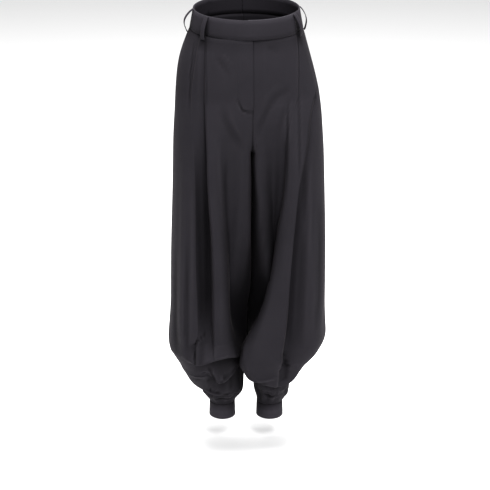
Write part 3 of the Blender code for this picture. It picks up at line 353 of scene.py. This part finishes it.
# node: flat width and length
LOOPS = {
    "belt_loop_front_right": (0.0125, 0.0560),
    "belt_loop_front_left": (0.0125, 0.0560),
    "belt_loop_side_right": (0.0125, 0.0600),
    "belt_loop_side_left": (0.0125, 0.0590),
    "belt_loop_back": (0.0200, 0.0560),
}


# ---------------------------------------------------------------- meshes


def new_object(name, data):
    thing = bpy.data.objects.new(name, data)
    bpy.context.scene.collection.objects.link(thing)
    return thing


def mesh_of(bm, name):
    """A bmesh as a finished mesh. The bmesh is freed."""
    mesh = bpy.data.meshes.new(name)
    bm.to_mesh(mesh)
    bm.free()
    return mesh


def points_of(mesh):
    points = np.empty(len(mesh.vertices) * 3)
    mesh.vertices.foreach_get("co", points)
    return points.reshape(-1, 3)


def normals_of(mesh):
    normals = np.empty(len(mesh.vertices) * 3)
    mesh.vertex_normals.foreach_get("vector", normals)
    return normals.reshape(-1, 3)


def give_points(mesh, points):
    mesh.vertices.foreach_set("co", points.ravel())
    mesh.update()


def values_of(mesh, name):
    values = np.empty(len(mesh.vertices), dtype=np.float32)
    mesh.attributes[name].data.foreach_get("value", values)
    return values


def give_values(mesh, name, values):
    """A named value at each point, for the materials."""
    layer = mesh.attributes.get(name) or mesh.attributes.new(name, "FLOAT", "POINT")
    layer.data.foreach_set("value", values.astype(np.float32))


def ease(t):
    """0 up to t = 0 and 1 from t = 1 on, with a soft start and end between them."""
    t = np.clip(t, 0.0, 1.0)
    return t * t * (3 - 2 * t)


# ---------------------------------------------------------------- shells


def quads_of(node):
    """A copy of a node's wall, with its triangles paired back into four-sided faces."""
    bm = bmesh.new()
    bm.from_mesh(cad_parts[node].data)
    bmesh.ops.remove_doubles(bm, verts=bm.verts, dist=WELD)
    bmesh.ops.join_triangles(
        bm, faces=bm.faces,
        angle_face_threshold=math.radians(PAIR_ANGLE),
        angle_shape_threshold=math.radians(PAIR_SHAPE),
    )
    return bm


def rough_mesh(node):
    """The node's wall in four-sided faces, with the edges where the cloth was cut marked to stay."""
    bm = quads_of(node)
    crease = bm.edges.layers.float.new("crease_edge")
    rim = bm.verts.layers.float.new("rim")
    for edge in bm.edges:
        if edge.calc_face_angle(0.0) > math.radians(RIM_ANGLE):
            edge[crease] = RIM_HOLD
            for vert in edge.verts:
                vert[rim] = 1.0
    return mesh_of(bm, node + "_rough")


def refined(mesh):
    """The mesh after its subdivision. Its first points are the given mesh's, in the same order."""
    rough = new_object("rough", mesh)
    refine = rough.modifiers.new("refine", "SUBSURF")
    refine.levels = refine.render_levels = LEVELS
    refine.boundary_smooth = "PRESERVE_CORNERS"
    bpy.context.view_layer.update()
    depsgraph = bpy.context.evaluated_depsgraph_get()
    fine = bpy.data.meshes.new_from_object(rough.evaluated_get(depsgraph))
    bpy.data.objects.remove(rough)
    return fine


def soft_mesh(node, walls, axis_x=0.0):
    """The node's wall, rounded and refined, with its cut edges held in place. Rounding draws the
    cloth inwards, so its points are moved out until it runs through the solid's own again."""
    mesh = rough_mesh(node)
    # the openness, which the materials turn into painted shade
    give_values(mesh, "open", openness(mesh, walls, axis_x))
    solid = points_of(mesh)
    cage = solid.copy()
    for _ in range(FIT_ROUNDS):
        fine = refined(mesh)
        cage += FIT_SHARE * (solid - points_of(fine)[: len(solid)])
        bpy.data.meshes.remove(fine)
        give_points(mesh, cage)
    return refined(mesh)


def meet_at_seams(mesh):
    """Moves the cut edges out along the cloth, so that the pieces meet at their seams."""
    rim = values_of(mesh, "rim") > ON_RIM
    points = points_of(mesh)
    out = np.zeros_like(points)
    for face in mesh.polygons:
        if all(rim[v] for v in face.vertices):
            for v in face.vertices:
                out[v] += face.normal
    size = np.linalg.norm(out, axis=1, keepdims=True)
    give_points(mesh, points + SEAM_MEET * out / np.maximum(size, TINY))


def nearest_on_path(x, z, path):
    """For each point: its distance from the path, and the path's height at the nearest place."""
    best = np.full(len(x), np.inf)
    height = np.zeros(len(x))
    for (ax, az, ah), (bx, bz, bh) in zip(path, path[1:]):
        length = math.hypot(bx - ax, bz - az)
        t = np.clip(((x - ax) * (bx - ax) + (z - az) * (bz - az)) / length**2, 0.0, 1.0)
        far = np.hypot(x - ax - t * (bx - ax), z - az - t * (bz - az))
        near = far < best
        best = np.where(near, far, best)
        height = np.where(near, ah + (bh - ah) * t, height)
    return best, height


def press_marks(mesh, node, axis_x):
    """Moves both faces of the wall together, out from the leg's axis by the creases' heights, and lowers
    the openness of narrow troughs, so that they get more painted shade."""
    points = points_of(mesh)
    x, z = points[:, 0], points[:, 2]
    moved = np.zeros(len(points))
    dark = np.zeros(len(points))
    for half, path in MARKS[node]:
        far, height = nearest_on_path(x, z, path)
        spread = np.exp(-((far / half) ** 2))
        moved += height * spread
        deep = np.clip(-height / MARK_DEEP, 0.0, 1.0) * min(1.0, MARK_NARROW / half)
        dark = np.maximum(dark, deep * spread)
    # painted shade: narrow troughs lie less open, so the materials paint them darker
    give_values(mesh, "open", values_of(mesh, "open") * (1.0 - MARK_DARK * dark))
    across, along = PUSH_ACROSS * (x - axis_x), points[:, 1]
    size = np.maximum(np.hypot(across, along), TINY)
    points[:, 0] += moved * across / size
    points[:, 1] += moved * along / size
    give_points(mesh, points)


def draw_together(mesh):
    """Below the fork the two fronts hang close, so that only a narrow line shows between them."""
    points = points_of(mesh)
    x, y, depth = points[:, 0], points[:, 1], -points[:, 2]
    start, full, fade, end = FORK_DEPTHS
    down = ease((depth - start) / (full - start)) * ease((end - depth) / (end - fade))
    front = ease((FORK_FRONT[0] - y) / (FORK_FRONT[0] - FORK_FRONT[1]))
    points[:, 0] = x * (1.0 - FORK_DRAW * down * front * np.exp(-((x / FORK_REACH) ** 2)))
    give_points(mesh, points)


def lay_weave(mesh, middle):
    """A map in metres, round the body and down it, that the weave follows."""
    layer = mesh.uv_layers.new(name="weave")
    for face in mesh.polygons:
        centre = face.center
        turn = math.atan2(centre.x - middle[0], middle[1] - centre.y)
        for corner in face.loop_indices:
            p = mesh.vertices[mesh.loops[corner].vertex_index].co
            angle = math.atan2(p.x - middle[0], middle[1] - p.y)
            angle += 2 * math.pi * round((turn - angle) / (2 * math.pi))
            layer.data[corner].uv = (angle * WEAVE_RADIUS, p.z)


# ---------------------------------------------------------------- what lies open, for the painted shade, and the painted edge highlights


def all_walls():
    """One search tree of every piece's solid, to find what shades what for the painted shade."""
    points, faces = [], []
    for node in (*PANELS, *BANDS, *LOOPS):
        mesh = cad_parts[node].data
        first = len(points)
        points += [v.co.copy() for v in mesh.vertices]
        faces += [tuple(first + i for i in face.vertices) for face in mesh.polygons]
    return BVHTree.FromPolygons(points, faces)


def sky_directions():
    """Directions spread over the half sphere round +Z, closer together towards its top."""
    found = []
    for i in range(LOOK_COUNT):
        share = (i + 0.5) / LOOK_COUNT
        turn = LOOK_TURN * i
        flat = math.sqrt(share)
        found.append(Vector((flat * math.cos(turn), flat * math.sin(turn), math.sqrt(1 - share))))
    return found


def openness(mesh, walls, axis_x):
    """How open the cloth lies at each point: 1 in the open, less down in a fold. The materials paint
    shade into the cloth's colour from it. The wall's inner side counts as open, so that the inside gets
    no painted shade and keeps its own colour."""
    looks = sky_directions()
    found = np.ones(len(mesh.vertices))
    for i, (at, normal) in enumerate(zip(points_of(mesh), normals_of(mesh))):
        if normal[0] * (at[0] - axis_x) + normal[1] * at[1] < 0:
            continue
        up = Vector(normal)
        start = Vector(at) + up * LOOK_START
        turn = up.to_track_quat("Z", "Y")
        free = sum(walls.ray_cast(start, turn @ look, LOOK_REACH)[0] is None for look in looks)
        found[i] = free / LOOK_COUNT
    return found


def paint_edge_highlights(mesh):
    """Where the cloth turns over an outer edge, such as a crease or a lip, a lighter colour is painted
    on it as a highlight.
    """
    points, normals = points_of(mesh), normals_of(mesh)
    ends = np.empty(len(mesh.edges) * 2, dtype=np.int64)
    mesh.edges.foreach_get("vertices", ends)
    a, b = ends.reshape(-1, 2).T
    along = points[b] - points[a]
    length = np.maximum(np.linalg.norm(along, axis=1), TINY)
    falls = np.zeros(len(points))
    count = np.zeros(len(points))
    for here, way in ((a, along), (b, -along)):
        np.add.at(falls, here, -(normals[here] * way).sum(axis=1) / length)
        np.add.at(count, here, 1.0)
    turn = np.clip(falls / np.maximum(count, 1.0) / EDGE_TURN, 0.0, 1.0)
    give_values(mesh, "edge", turn * (1.0 - values_of(mesh, "rim")))


# ---------------------------------------------------------------- stitches


def tree_of(mesh):
    """A search tree of a panel, to lay stitches on."""
    return BVHTree.FromPolygons([v.co for v in mesh.vertices], [face.vertices for face in mesh.polygons])


def spaced(path, step):
    """Places and directions along a path, one for each stitch."""
    found = []
    left = 0.0
    for a, b in zip(path, path[1:]):
        length = math.dist(a, b)
        along = left
        while along < length:
            t = along / length
            found.append(((a[0] + (b[0] - a[0]) * t, a[1] + (b[1] - a[1]) * t),
                          ((b[0] - a[0]) / length, (b[1] - a[1]) / length)))
            along += step
        left = along - length
    return found


def add_stitch(bm, middle, along, out):
    """One stitch: a short thread that dips into the cloth at both ends."""
    side = along.cross(out).normalized()
    rings = []
    for t in STITCH_RINGS:
        thick = STITCH_END + (1 - STITCH_END) * math.sqrt(1.0 - t * t)
        radius = STITCH_WIDTH / 2 * thick
        lift = STITCH_RISE * (1.0 - STITCH_DIP * t * t)
        centre = middle + along * (STITCH_LENGTH / 2 * t) + out * lift
        ring = []
        for k in range(STITCH_SIDES):
            angle = 2 * math.pi * k / STITCH_SIDES
            ring.append(bm.verts.new(centre + radius * (side * math.cos(angle) + out * math.sin(angle))))
        rings.append(ring)
    for a, b in zip(rings, rings[1:]):
        for k in range(STITCH_SIDES):
            after = (k + 1) % STITCH_SIDES
            bm.faces.new((a[k], a[after], b[after], b[k]))
    bm.faces.new(rings[0][::-1])
    bm.faces.new(rings[-1])


def sew(name, cloth, path, material):
    """A row of stitches along a path of (x, z), laid on the cloth's front."""
    bm = bmesh.new()
    for (x, z), (dx, dz) in spaced(path, STITCH_LENGTH + STITCH_GAP):
        at, normal, _, _ = cloth.ray_cast(Vector((x, SEW_FROM_Y, z)), Vector((0.0, 1.0, 0.0)))
        if at is None:
            continue
        along = Vector((dx, 0.0, dz))
        along = (along - normal * along.dot(normal)).normalized()
        add_stitch(bm, at, along, normal)
    return show(name, mesh_of(bm, name), material)


# ---------------------------------------------------------------- materials


def feed(tree, node, inputs):
    """Gives each named input of a node its constant, or links it to another node's output."""
    for name, value in inputs.items():
        if isinstance(value, bpy.types.NodeSocket):
            tree.links.new(value, node.inputs[name])
        else:
            node.inputs[name].default_value = value


def add(tree, kind, inputs, **settings):
    """A new node, with its settings and then its inputs."""
    node = tree.nodes.new("ShaderNode" + kind)
    for name, value in settings.items():
        setattr(node, name, value)
    feed(tree, node, inputs)
    return node


def new_material(name):
    """A material, its node tree and its shader."""
    material = bpy.data.materials.new(name)
    material.use_nodes = True
    return material, material.node_tree, material.node_tree.nodes["Principled BSDF"]


def toned(colour, tone=1.0):
    return (*(tone * part for part in colour), 1.0)


def mixed(tree, share, a, b):
    """Colour a where the share is 0, and colour b where it is 1."""
    return add(tree, "Mix", {"Factor": share, "A": a, "B": b}, data_type="RGBA").outputs["Result"]


def noise(tree, scale, detail):
    place = add(tree, "TexCoord", {}).outputs["Object"]
    return add(tree, "TexNoise", {"Vector": place, "Scale": scale, "Detail": detail}).outputs["Fac"]


def bump(tree, height, strength, distance, under=None):
    """The normal that a height gives, on top of the normal of any bump under it."""
    node = add(tree, "Bump", {"Height": height, "Strength": strength, "Distance": distance})
    if under:
        feed(tree, node, {"Normal": under})
    return node.outputs["Normal"]


def twill_height(tree):
    """A fine diagonal rib that follows the cloth's own map."""
    weave = add(tree, "UVMap", {}, uv_map="weave").outputs["UV"]
    inputs = {
        "Vector": weave,
        "Scale": 2 * math.pi / (WAVE_TURN * TWILL_PITCH),
        "Distortion": TWILL_WANDER,
        "Detail": TWILL_DETAIL,
    }
    return add(tree, "TexWave", inputs, wave_type="BANDS", bands_direction="DIAGONAL").outputs["Fac"]


def wool_colour_with_painted_light(tree, tone):
    """Black with soft patches of wear, a painted highlight over turned edges and painted shade down in
    folds.
    """
    cloth = mixed(tree, noise(tree, *WEAR), toned(BLACK, tone), toned(BLACK_WORN, tone))
    # painted highlight: a lighter colour over turned edges
    edge = add(tree, "Attribute", {}, attribute_name="edge").outputs["Fac"]
    cloth = mixed(tree, edge, cloth, toned(EDGE_HIGHLIGHT, tone))
    # painted shade: the colour darkens where the cloth lies less open, in folds and between the pieces
    shade = add(tree, "Attribute", {}, attribute_name="open").outputs["Fac"]
    shade = add(tree, "Math", {0: shade, 1: FOLD_POWER}, operation="POWER").outputs[0]
    shade = add(tree, "Math", {0: shade, 1: FOLD_LEAST}, operation="MAXIMUM").outputs[0]
    return add(tree, "VectorMath", {0: cloth, "Scale": shade}, operation="SCALE").outputs["Vector"]


def wool(name):
    """Fine black twill, a little felted, with a soft sheen at grazing angles."""
    roughness, tone = WOOLS[name]
    material, tree, shader = new_material(name)
    ribs = bump(tree, twill_height(tree), *TWILL_BUMP)
    feed(tree, shader, {
        "Base Color": wool_colour_with_painted_light(tree, tone),
        "Roughness": roughness,
        "Specular IOR Level": WOOL_SPECULAR,
        "Sheen Weight": SHEEN,
        "Sheen Roughness": SHEEN_ROUGHNESS,
        "Sheen Tint": toned(SHEEN_TINT),
        "Normal": bump(tree, noise(tree, *FELT), *FELT_BUMP, under=ribs),
    })
    return material


def thread(name):
    """Black sewing thread with a fine twist."""
    material, tree, shader = new_material(name)
    place = add(tree, "TexCoord", {}).outputs["Object"]
    inputs = {"Vector": place, "Scale": TWIST_SCALE}
    twist = add(tree, "TexWave", inputs, bands_direction="DIAGONAL").outputs["Fac"]
    feed(tree, shader, {
        "Base Color": mixed(tree, twist, toned(THREAD_BLACK), toned(BLACK)),
        "Roughness": THREAD_ROUGHNESS,
        "Specular IOR Level": THREAD_SPECULAR,
        "Normal": bump(tree, twist, *TWIST_BUMP),
    })
    return material


def floor_paint(name):
    material, tree, shader = new_material(name)
    feed(tree, shader, {"Base Color": toned(FLOOR_COLOUR), "Roughness": FLOOR_ROUGHNESS})
    return material


# ---------------------------------------------------------------- pieces


def middle_of(node):
    low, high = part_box(node)
    return (low + high) / 2


def show(name, mesh, material):
    """A smooth visible piece, which rides on the one body."""
    mesh.materials.append(material)
    mesh.shade_smooth()
    piece = new_object(name, mesh)
    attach(piece, "root")
    return piece


def show_cloth(node, mesh, material):
    """The cloth that stands for a node."""
    piece = show(node + "_cloth", mesh, material)
    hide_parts(node)
    return piece


def make_panels(material, sewing, walls):
    for node, (width, length, area, band) in PANELS.items():
        axis_x = LEG_AXIS_X if node.endswith("left") else -LEG_AXIS_X
        mesh = soft_mesh(node, walls, axis_x)
        press_marks(mesh, node, axis_x)
        if node.startswith("front"):
            draw_together(mesh)
        meet_at_seams(mesh)
        paint_edge_highlights(mesh)
        cuff = middle_of("cuff_" + node.split("_")[1])
        lay_weave(mesh, (LEG_MIDDLE * cuff.x, 0.0))
        piece = show_cloth(node, mesh, material)
        cloth = tree_of(mesh)
        sewn = [sew(name, cloth, path, sewing) for name, panel, path in STITCH_ROWS if panel == node]


def make_bands(waist_material, cuff_material, walls):
    for node, (width, height) in BANDS.items():
        is_cuff = node.startswith("cuff")
        middle = middle_of(node) if is_cuff else Vector((0, 0, 0))
        mesh = soft_mesh(node, walls, middle.x)
        paint_edge_highlights(mesh)
        lay_weave(mesh, middle)
        piece = show_cloth(node, mesh, cuff_material if is_cuff else waist_material)


def make_loops(material, walls):
    for node, (width, length) in LOOPS.items():
        mesh = soft_mesh(node, walls)
        paint_edge_highlights(mesh)
        lay_weave(mesh, Vector((0, 0, 0)))
        piece = show_cloth(node, mesh, material)


# ---------------------------------------------------------------- studio


def make_floor():
    top = min(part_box(node)[0].z for node in ("cuff_right", "cuff_left")) - FLOOR_BELOW_CUFFS
    half = FLOOR_SIZE / 2
    corners = [(-half, -half, top), (half, -half, top), (half, half, top), (-half, half, top)]
    mesh = bpy.data.meshes.new("floor")
    mesh.from_pydata(corners, [], [(0, 1, 2, 3)])
    mesh.materials.append(floor_paint("pale_floor"))
    new_object("floor", mesh)


def make_lights():
    for name, (at, towards, side, watts) in LIGHTS.items():
        data = bpy.data.lights.new(name, "AREA")
        data.shape = "SQUARE"
        data.size = side
        data.energy = watts
        light = new_object(name, data)
        light.location = at
        light.rotation_euler = (Vector(towards) - Vector(at)).to_track_quat("-Z", "Y").to_euler()


def make_studio():
    world = bpy.data.worlds.new("studio")
    world.use_nodes = True
    backdrop = world.node_tree.nodes["Background"]
    feed(world.node_tree, backdrop, {"Color": toned(BACKDROP_COLOUR), "Strength": BACKDROP_STRENGTH})
    bpy.context.scene.world = world
    view = bpy.context.scene.view_settings
    view.view_transform = "Standard"
    view.look = "High Contrast"
    make_floor()
    make_lights()


def make_camera():
    data = bpy.data.cameras.new("camera")
    data.sensor_width = SENSOR_MM
    data.lens = CAMERA_LENS_MM
    data.clip_end = CAMERA_REACH
    camera = new_object("camera", data)
    camera.location = CAMERA_AT
    camera.rotation_euler = [math.radians(angle) for angle in CAMERA_TURN]
    bpy.context.scene.camera = camera


leg_wool = wool("leg_wool")
pressed_wool = wool("pressed_wool")
cuff_wool = wool("cuff_wool")
walls = all_walls()
make_panels(leg_wool, thread("black_thread"), walls)
make_bands(pressed_wool, cuff_wool, walls)
make_loops(pressed_wool, walls)
make_studio()
make_camera()
